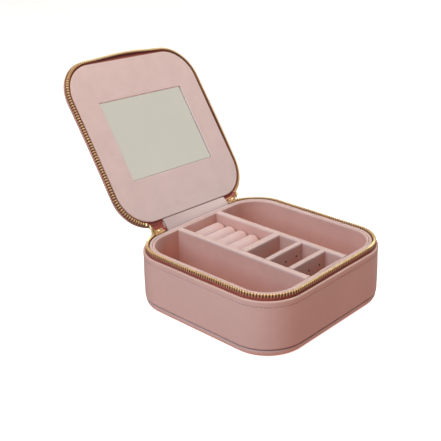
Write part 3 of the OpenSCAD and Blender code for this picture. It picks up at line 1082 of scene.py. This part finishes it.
def mirror_shadow_edge():
    """A painted shadow: a thin dark strip on the mirror along two sides of its window, where shade falls."""
    width, thick = 0.45 * MM, 0.06 * MM
    right, low = MIRROR_HIGH.x - MIRROR_LAP, MIRROR_HIGH.y - MIRROR_LAP
    left, high = MIRROR_LOW.x + MIRROR_LAP, MIRROR_LOW.y + MIRROR_LAP
    outline = [(left, low), (right, low), (right, high), (right - width, high),
               (right - width, low - width), (left, low - width)]
    verts = [Vector((x, y, z)) for z in (MIRROR_LOW.z, MIRROR_LOW.z - thick) for x, y in outline]
    faces = tube_faces(2, len(outline))
    piece("mirror_painted_shadow_edge", verts, faces, RAW_EDGE_AND_SHADE, "lid")


def lid_zip():
    foot = ZIP_Z + TOOTH_GAP + TOOTH_H
    places, step = tooth_places()
    between = [s + step / 2 for s in places[:-1]]
    zip_tape("zip_tape_upper", LID_TAPE_HIGH, foot, foot - CORD_H, lid_wave, "lid",
             ["lid_zip_tape"], RIGID_FROM)
    rigid = [s for s in between if RIGID_FROM < s < TRACK - RIGID_FROM]
    verts, faces = row_mesh(rigid, foot, -1, lid_wave)
    piece("zip_teeth_upper", verts, faces, BRASS, "lid", ["lid_zip_teeth"], sharp=30)
    soft = [s for s in between if MOUTH < s < RIGID_FROM]
    soft_zip("left", soft, foot, 1)
    soft_zip("right", [TRACK - s for s in soft], foot, -1)


SOFT_EDGE = ZIP_Z + 3.4 * MM     # the tape is free of the lid's wall below here
GORE_STOPS = (33 * MM, 40 * MM, 47 * MM, 52 * MM, 57 * MM)
ROOT_FROM = 36.8 * MM


def soft_line(way):
    """Where the soft part of the lid's zip starts, at the slider, and ends, on the open lid."""
    start = case_point(way * MOUTH, ZIP_INSET, ZIP_Z + 1.5 * MM)
    end = OPENED @ case_point(way * RIGID_FROM, ZIP_INSET, ZIP_Z + 1.5 * MM)
    return start, end


def softened(point, start, end):
    """Turns a point of the closed lid's soft zip open, by the share its own rest place has."""
    way = end - start
    low, high = 0.0, 1.0
    for _ in range(24):
        share = (low + high) / 2
        moved = turned(OPEN_ANGLE * share) @ point
        along = (moved - start).dot(way) / way.length_squared
        if smoothstep(0, 1, along) > share:
            low = share
        else:
            high = share
    return turned(OPEN_ANGLE * low) @ point, low


def soft_zip(side, places, foot, way):
    """Between slider and lid the zip leaves the lid's wall and twists into the slider."""
    start, end = soft_line(way)
    first, last = sorted((way * MOUTH % TRACK, way * RIGID_FROM % TRACK))
    steps = 16
    stops = [first + (last - first) * i / steps for i in range(steps + 1)]
    tape = part_sweep(stops, tape_profile(SOFT_EDGE + 0.1 * MM, foot - 0.3 * MM))
    cord = part_sweep(stops, cord_profile(foot, foot - CORD_H))
    teeth = row_mesh(places, foot, -1)
    bends = (
        ("tape", tape, TAPE_CLOTH, "zip_tape", ["lid_zip_tape"], 40),
        ("cord", cord, CORD_CLOTH_PAINTED_SHADE, "zip_tape", ["lid_zip_tape"], 40),
        ("teeth", teeth, BRASS, "brass", ["lid_zip_teeth", "lid_zip_stops"], 30),
    )
    for kind, (verts, faces), material, slot, stands_for, sharp in bends:
        verts = [softened(vert, start, end)[0] for vert in verts]
        made = piece(f"zip_{kind}_bend_{side}", verts, faces, material, None, stands_for,
                     sharp=sharp)
        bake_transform(made)
    root = sorted((way * ROOT_FROM % TRACK, way * RIGID_FROM % TRACK))
    outer, inner = ZIP_INSET - TAPE_T / 2, ZIP_INSET + TAPE_T / 2
    corners = [(outer, LID_TAPE_HIGH, 0), (inner, LID_TAPE_HIGH, 0),
               (inner, SOFT_EDGE - 0.5 * MM, 0.2 * MM), (outer, SOFT_EDGE - 0.5 * MM, 0.2 * MM)]
    verts, faces = part_sweep(part_stops(*root), rounded(corners))
    piece(f"zip_tape_root_{side}", verts, faces, TAPE_CLOTH, "lid")
    for number, (low, high) in enumerate(zip(GORE_STOPS, GORE_STOPS[1:]), 1):
        gore(f"zip_gusset_{side}_{number}", low, high, way)


def gore_ends(s, way):
    """The edges of the gusset there: on the slider or the soft zip, and on the lid's tape.
    The first comes with its share of the lid's turn."""
    start, end = soft_line(way)
    over_slider = 2.2 * MM * smoothstep(38 * MM, 41 * MM, s)
    over_teeth = (SOFT_EDGE - ZIP_Z - 1.6 * MM) * smoothstep(45 * MM, 50 * MM, s)
    z = ZIP_Z - 0.8 * MM + over_slider + over_teeth
    inset = ZIP_INSET + 0.65 * MM * (1 - smoothstep(37 * MM, 39 * MM, s))
    lower, share = softened(case_point(way * s, inset, z), start, end)
    upper = OPENED @ case_point(way * s, inset, SOFT_EDGE + 0.3 * MM)
    return lower, share, upper


def blend_line(points, shares):
    """The start and end whose blend comes closest to the shares wanted at some points."""
    middle = sum(points, Vector()) / len(points)
    squares = Matrix.Identity(4) * 0.01
    right = Vector((0, 0, 0, 0))
    for point, share in zip(points, shares):
        row = Vector((*((point - middle) / MM), 1))
        along = 0.5 - math.sin(math.asin(max(-1.0, min(1.0, 1 - 2 * share))) / 3)
        squares += Matrix([row * value for value in row])
        right += row * along
    slope = squares.inverted() @ right
    way = Vector(slope[:3])
    start = middle - way * (slope[3] / way.length_squared) * MM
    return start, start + way / way.length_squared * MM


def gore(name, low, high, way):
    """A gusset of tape cloth that closes the gap between the soft zip and the lid's wall."""
    columns, rows = 6, 5
    thick = 0.35 * MM
    lines = []
    for i in range(columns + 1):
        lower, _, upper = gore_ends(low + (high - low) * i / columns, way)
        lines.append([lower.lerp(upper, k / rows) for k in range(rows + 1)])
    verts = []
    for i, line in enumerate(lines):
        along = lines[min(i + 1, columns)][rows // 2] - lines[max(i - 1, 0)][rows // 2]
        across = line[-1] - line[0]
        normal = along.cross(across).normalized() * thick / 2 * way
        verts += [point + normal for point in line] + [point - normal for point in reversed(line)]
    faces = tube_faces(columns + 1, 2 * (rows + 1))
    made = piece(name, verts, faces, TAPE_CLOTH, None)
    points, shares = [], []
    for s in (low, high):
        lower, share, upper = gore_ends(s, way)
        points += [lower, upper]
        shares += [share, 1]
    start, end = blend_line(points, shares)
    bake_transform(made)


# ---- Sliders and pulls ----

def track_matrix(s, way):
    """Takes (along the zip, outwards, height) to the case's frame. Along runs towards the
    slider's mouth, which faces away from the hinge."""
    _, way_out = station(s)
    out = Vector((way_out.x, way_out.y, 0))
    along = Vector((-out.y, out.x, 0)) * way
    turn = Matrix((along, out, Vector((0, 0, 1)))).transposed().to_4x4()
    return Matrix.Translation(case_point(s, ZIP_INSET, 0)) @ turn


def layered(outline, levels, axes=(0, 2, 1)):
    """A solid from one outline at several depths, each drawn in towards its middle. axes
    says where the outline's two directions and the depth go."""
    count = len(outline)
    centre = sum((Vector(point) for point in outline), Vector((0, 0))) / count
    verts = []
    for depth, shrink in levels:
        for point in outline:
            ray = Vector(point) - centre
            flat = centre + ray * (1 - shrink / ray.length)
            vert = Vector()
            vert[axes[0]], vert[axes[1]], vert[axes[2]] = flat.x, flat.y, depth
            verts.append(vert)
    return verts, tube_faces(len(levels), count)


def in_mm(values):
    return [tuple(value * MM for value in row) for row in values]


def assembled(name, parts, place, body, stands_for):
    """One metal piece from several solids, given in the zip's own directions."""
    verts, faces = [], []
    for part_verts, part_faces in parts:
        faces += shifted(part_faces, len(verts))
        verts += [place @ vert for vert in part_verts]
    piece(name, verts, faces, BRASS, body, stands_for, sharp=35)


def plate_outline(corners):
    """A slider plate's outline, its heights given from the zip plane."""
    placed = [(x * MM, ZIP_Z + z * MM, r * MM) for x, z, r in corners]
    return rounded(placed, steps=5, longest=0.8 * MM)


def slider(side, s, way):
    place = track_matrix(s, way)
    bar = place.inverted() @ Vector(JOINTS[f"pull_{side}_swing"]["pos_m"])
    outer = plate_outline([(-4.45, -2.2, 1.2), (4.35, -3.1, 1.5), (4.35, 2.7, 1.5), (-4.45, 1.9, 1.2)])
    inner = plate_outline([(-4.4, -1.1, 0.4), (4.3, -1.1, 0.4), (4.3, 2.9, 1.5), (-4.4, 2.6, 1.3)])
    lip = plate_outline([(-4.2, -1.1, 0.25), (4.1, -1.1, 0.25), (4.1, -0.4, 0.25), (-4.2, -0.4, 0.25)])
    web = [(-4.3 * MM, -1.5 * MM), (4.2 * MM, -1.5 * MM), (4.2 * MM, 1.3 * MM), (-4.3 * MM, 1.3 * MM)]
    parts = [
        layered(outer, in_mm([(1.2, 0.1), (1.3, 0), (1.7, 0), (1.85, 0.12), (1.95, 0.45)])),
        layered(inner, in_mm([(-1.4, 0.1), (-1.5, 0), (-1.95, 0), (-2.1, 0.15), (-2.2, 0.5)])),
        layered(lip, in_mm([(-2.0, 0), (-2.45, 0.02), (-2.6, 0.15)])),
        layered(disc(0.4 * MM, ZIP_Z + 1.25 * MM, 1.5 * MM),
                in_mm([(-2.1, 0), (-2.5, 0.08), (-2.9, 0.35), (-3.15, 0.8), (-3.2, 1.3)])),
        layered(web, [(ZIP_Z - 0.28 * MM, 0), (ZIP_Z + 0.28 * MM, 0)], axes=(0, 1, 2)),
        layered(disc(bar.y, bar.z, 0.5 * MM), in_mm([(-2.8, 0), (2.8, 0)]), axes=(1, 2, 0)),
    ]
    lug = [(1.4 * MM, bar.z - 0.9 * MM, 0.1 * MM), (bar.y + 0.6 * MM, bar.z - 0.6 * MM, 0.5 * MM),
           (bar.y + 0.6 * MM, bar.z + 0.6 * MM, 0.5 * MM), (1.4 * MM, bar.z + 0.9 * MM, 0.1 * MM)]
    lug_outline = rounded(lug, steps=5, longest=0.6 * MM)
    for x in (-2.8, 2.8):
        levels = in_mm([(x - 0.45, 0.12), (x - 0.33, 0), (x + 0.33, 0), (x + 0.45, 0.12)])
        parts.append(layered(lug_outline, levels, axes=(1, 2, 0)))
    assembled(f"slider_body_{side}", parts, place, f"slider_{side}", [f"slider_{side}"])


def hoop(centre, inner, outer, half_width):
    """A ring round the pull's bar."""
    bevel = 0.2 * MM
    corners = [(inner, -half_width, bevel), (outer, -half_width, bevel), (outer, half_width, bevel),
               (inner, half_width, bevel)]
    profile = rounded(corners, steps=4)
    sides = 28
    verts = []
    for k in range(sides):
        angle = 2 * math.pi * k / sides
        for radius, x in profile:
            verts.append(Vector((x, centre.y + radius * math.cos(angle),
                                 centre.z + radius * math.sin(angle))))
    return verts, grid_faces(sides, len(profile), wrap_rows=True)


def pull(side, s, way):
    place = track_matrix(s, way)
    bar = place.inverted() @ Vector(JOINTS[f"pull_{side}_swing"]["pos_m"])

    def outline(half_width, low, high, radius):
        corners = [(-half_width, low, radius), (half_width, low, radius),
                   (half_width, high, radius), (-half_width, high, radius)]
        placed = [(x * MM, bar.z + z * MM, r * MM) for x, z, r in corners]
        return rounded(placed, steps=8, longest=1.2 * MM)

    def levels(rows):
        return [(bar.y + depth * MM, shrink * MM) for depth, shrink in rows]

    parts = [
        hoop(bar, 0.57 * MM, 1.25 * MM, 1.0 * MM),
        layered(outline(1.0, -4.4, -1.0, 0.1), levels([(-0.45, 0.1), (-0.35, 0), (0.35, 0), (0.45, 0.1)])),
        layered(outline(2.5, -23.5, -1.9, 2.4),
                levels([(-0.3, 0.9), (-0.46, 0.75), (-0.5, 0.3), (-0.36, 0), (0.36, 0), (0.5, 0.3),
                        (0.46, 0.75), (0.3, 0.9)])),
    ]
    assembled(f"zip_pull_{side}", parts, place, f"pull_{side}", [f"pull_{side}"])


# ---- Stage, light and camera ----

def add_floor():
    """A plain pale table, lit from within so that the shadow on it stays soft."""
    reach = 3.0
    mesh = bpy.data.meshes.new("floor")
    mesh.from_pydata([(-reach, -reach, 0), (reach, -reach, 0), (reach, reach, 0), (-reach, reach, 0)],
                     [], [(0, 1, 2, 3)])
    floor = bpy.data.objects.new("floor", mesh)
    made, nodes = new_material("floor")
    nodes.finish({
        "Base Color": nodes.tones(nodes.noise(3), gray(0.93), gray(0.95)),
        "Roughness": 0.9,
        "Emission Color": (1, 1, 1, 1),
        "Emission Strength": FLOOR_GLOW,
    })
    mesh.materials.append(made)
    bpy.context.scene.collection.objects.link(floor)
    floor.visible_diffuse = False
    floor.visible_glossy = False


def add_light(name, place, size, power, color, mirrored=True):
    data = bpy.data.lights.new(name, "AREA")
    data.shape = "RECTANGLE"
    data.size = data.size_y = size
    data.energy = power
    data.color = color
    lamp = bpy.data.objects.new(name, data)
    lamp.location = place
    aim = Vector((0, 0, 0.05)) - Vector(place)
    lamp.rotation_euler = aim.to_track_quat("-Z", "Y").to_euler()
    lamp.visible_camera = False
    lamp.visible_glossy = mirrored
    bpy.context.scene.collection.objects.link(lamp)


LAMPS = [
    ("key", (-1.1, 0.0, 0.8), 1.0, 11.6, (0.71, 0.93, 1.0), True),
    ("top", (0.0, -0.1, 1.4), 1.1, 13.4, (1.0, 0.64, 0.38), True),
    ("right", (1.1, -0.3, 0.6), 0.9, 8.0, (0.40, 0.78, 0.90), False),
]
SKY = (0.05, 0.0, 0.0)
GROUND = (0.88, 0.44, 0.32)
FLOOR_GLOW = 0.8
ROOM = (
    # what glass and metal reflect: the height of the direction, and the colour there
    (0.0, (0.30, 0.20, 0.15)), (0.03, (0.06, 0.05, 0.045)), (0.2, (0.10, 0.09, 0.08)),
    (0.38, (0.62, 0.59, 0.51)), (0.6, (0.62, 0.59, 0.51)), (0.9, (1.0, 0.97, 0.9)),
)


def add_lights():
    """Soft lamps, with a dim room round them. The camera sees the room as a white sweep."""
    for lamp in LAMPS:
        add_light(*lamp)
    world = bpy.data.worlds.new("studio")
    nodes = Nodes(world, "Background", "Generated")
    height = nodes.height()
    path = nodes.add("ShaderNodeLightPath").outputs
    soft = nodes.ramp(height, ((0.0, GROUND), (0.02, SKY)))
    lit = nodes.mix(path["Is Glossy Ray"], soft, nodes.ramp(height, ROOM))
    nodes.finish({"Color": nodes.mix(path["Is Camera Ray"], lit, (1, 1, 1, 1))})
    bpy.context.scene.world = world


def add_camera():
    azimuth = math.radians(-46.28)
    elevation = math.radians(23.77)
    roll = math.radians(-1.39)
    distance = 0.70526
    aside, above = -0.03172, 0.06291
    flat = math.cos(elevation)
    back = Vector((math.sin(azimuth) * flat, -math.cos(azimuth) * flat, math.sin(elevation)))
    level = Vector((math.cos(azimuth), math.sin(azimuth), 0))
    upright = back.cross(level)
    right = level * math.cos(roll) + upright * math.sin(roll)
    up = upright * math.cos(roll) - level * math.sin(roll)
    data = bpy.data.cameras.new("camera")
    data.lens = 70
    data.sensor_width = 36
    data.clip_start = 0.01
    camera = bpy.data.objects.new("camera", data)
    turn = Matrix((right, up, back)).transposed().to_4x4()
    place = back * distance + level * aside + upright * above
    camera.matrix_world = Matrix.Translation(place) @ turn
    bpy.context.scene.collection.objects.link(camera)
    bpy.context.scene.camera = camera


# ---- Everything ----

add_camera()
cover_inner_nodes()
bottom_panel()
wall_covering()
hem_stitches()
base_zip()
liner()
tray_wall()
tray_floor()
divider("left_divider", "divider_left")
divider("right_divider", "divider_right")
divider("ring_end_divider", "divider_ring_end")
stud_divider("stud_divider_back", "divider_stud_back")
stud_divider("stud_divider_front", "divider_stud_front")
stud_sleeves("stud_holes_back", "divider_stud_back")
stud_sleeves("stud_holes_front", "divider_stud_front")
for roll_number in range(1, 6):
    ring_roll(roll_number)
ring_pad()
lid_wall()
lid_top()
suede_panel()
mirror_shadow_edge()
lid_zip()
hinge_strips()
for side_name, parked_at, mouth_way in (("left", PARKED, 1), ("right", TRACK - PARKED, -1)):
    slider(side_name, parked_at, mouth_way)
    pull(side_name, parked_at, mouth_way)
add_floor()
add_lights()
bpy.context.scene.view_settings.view_transform = "Standard"
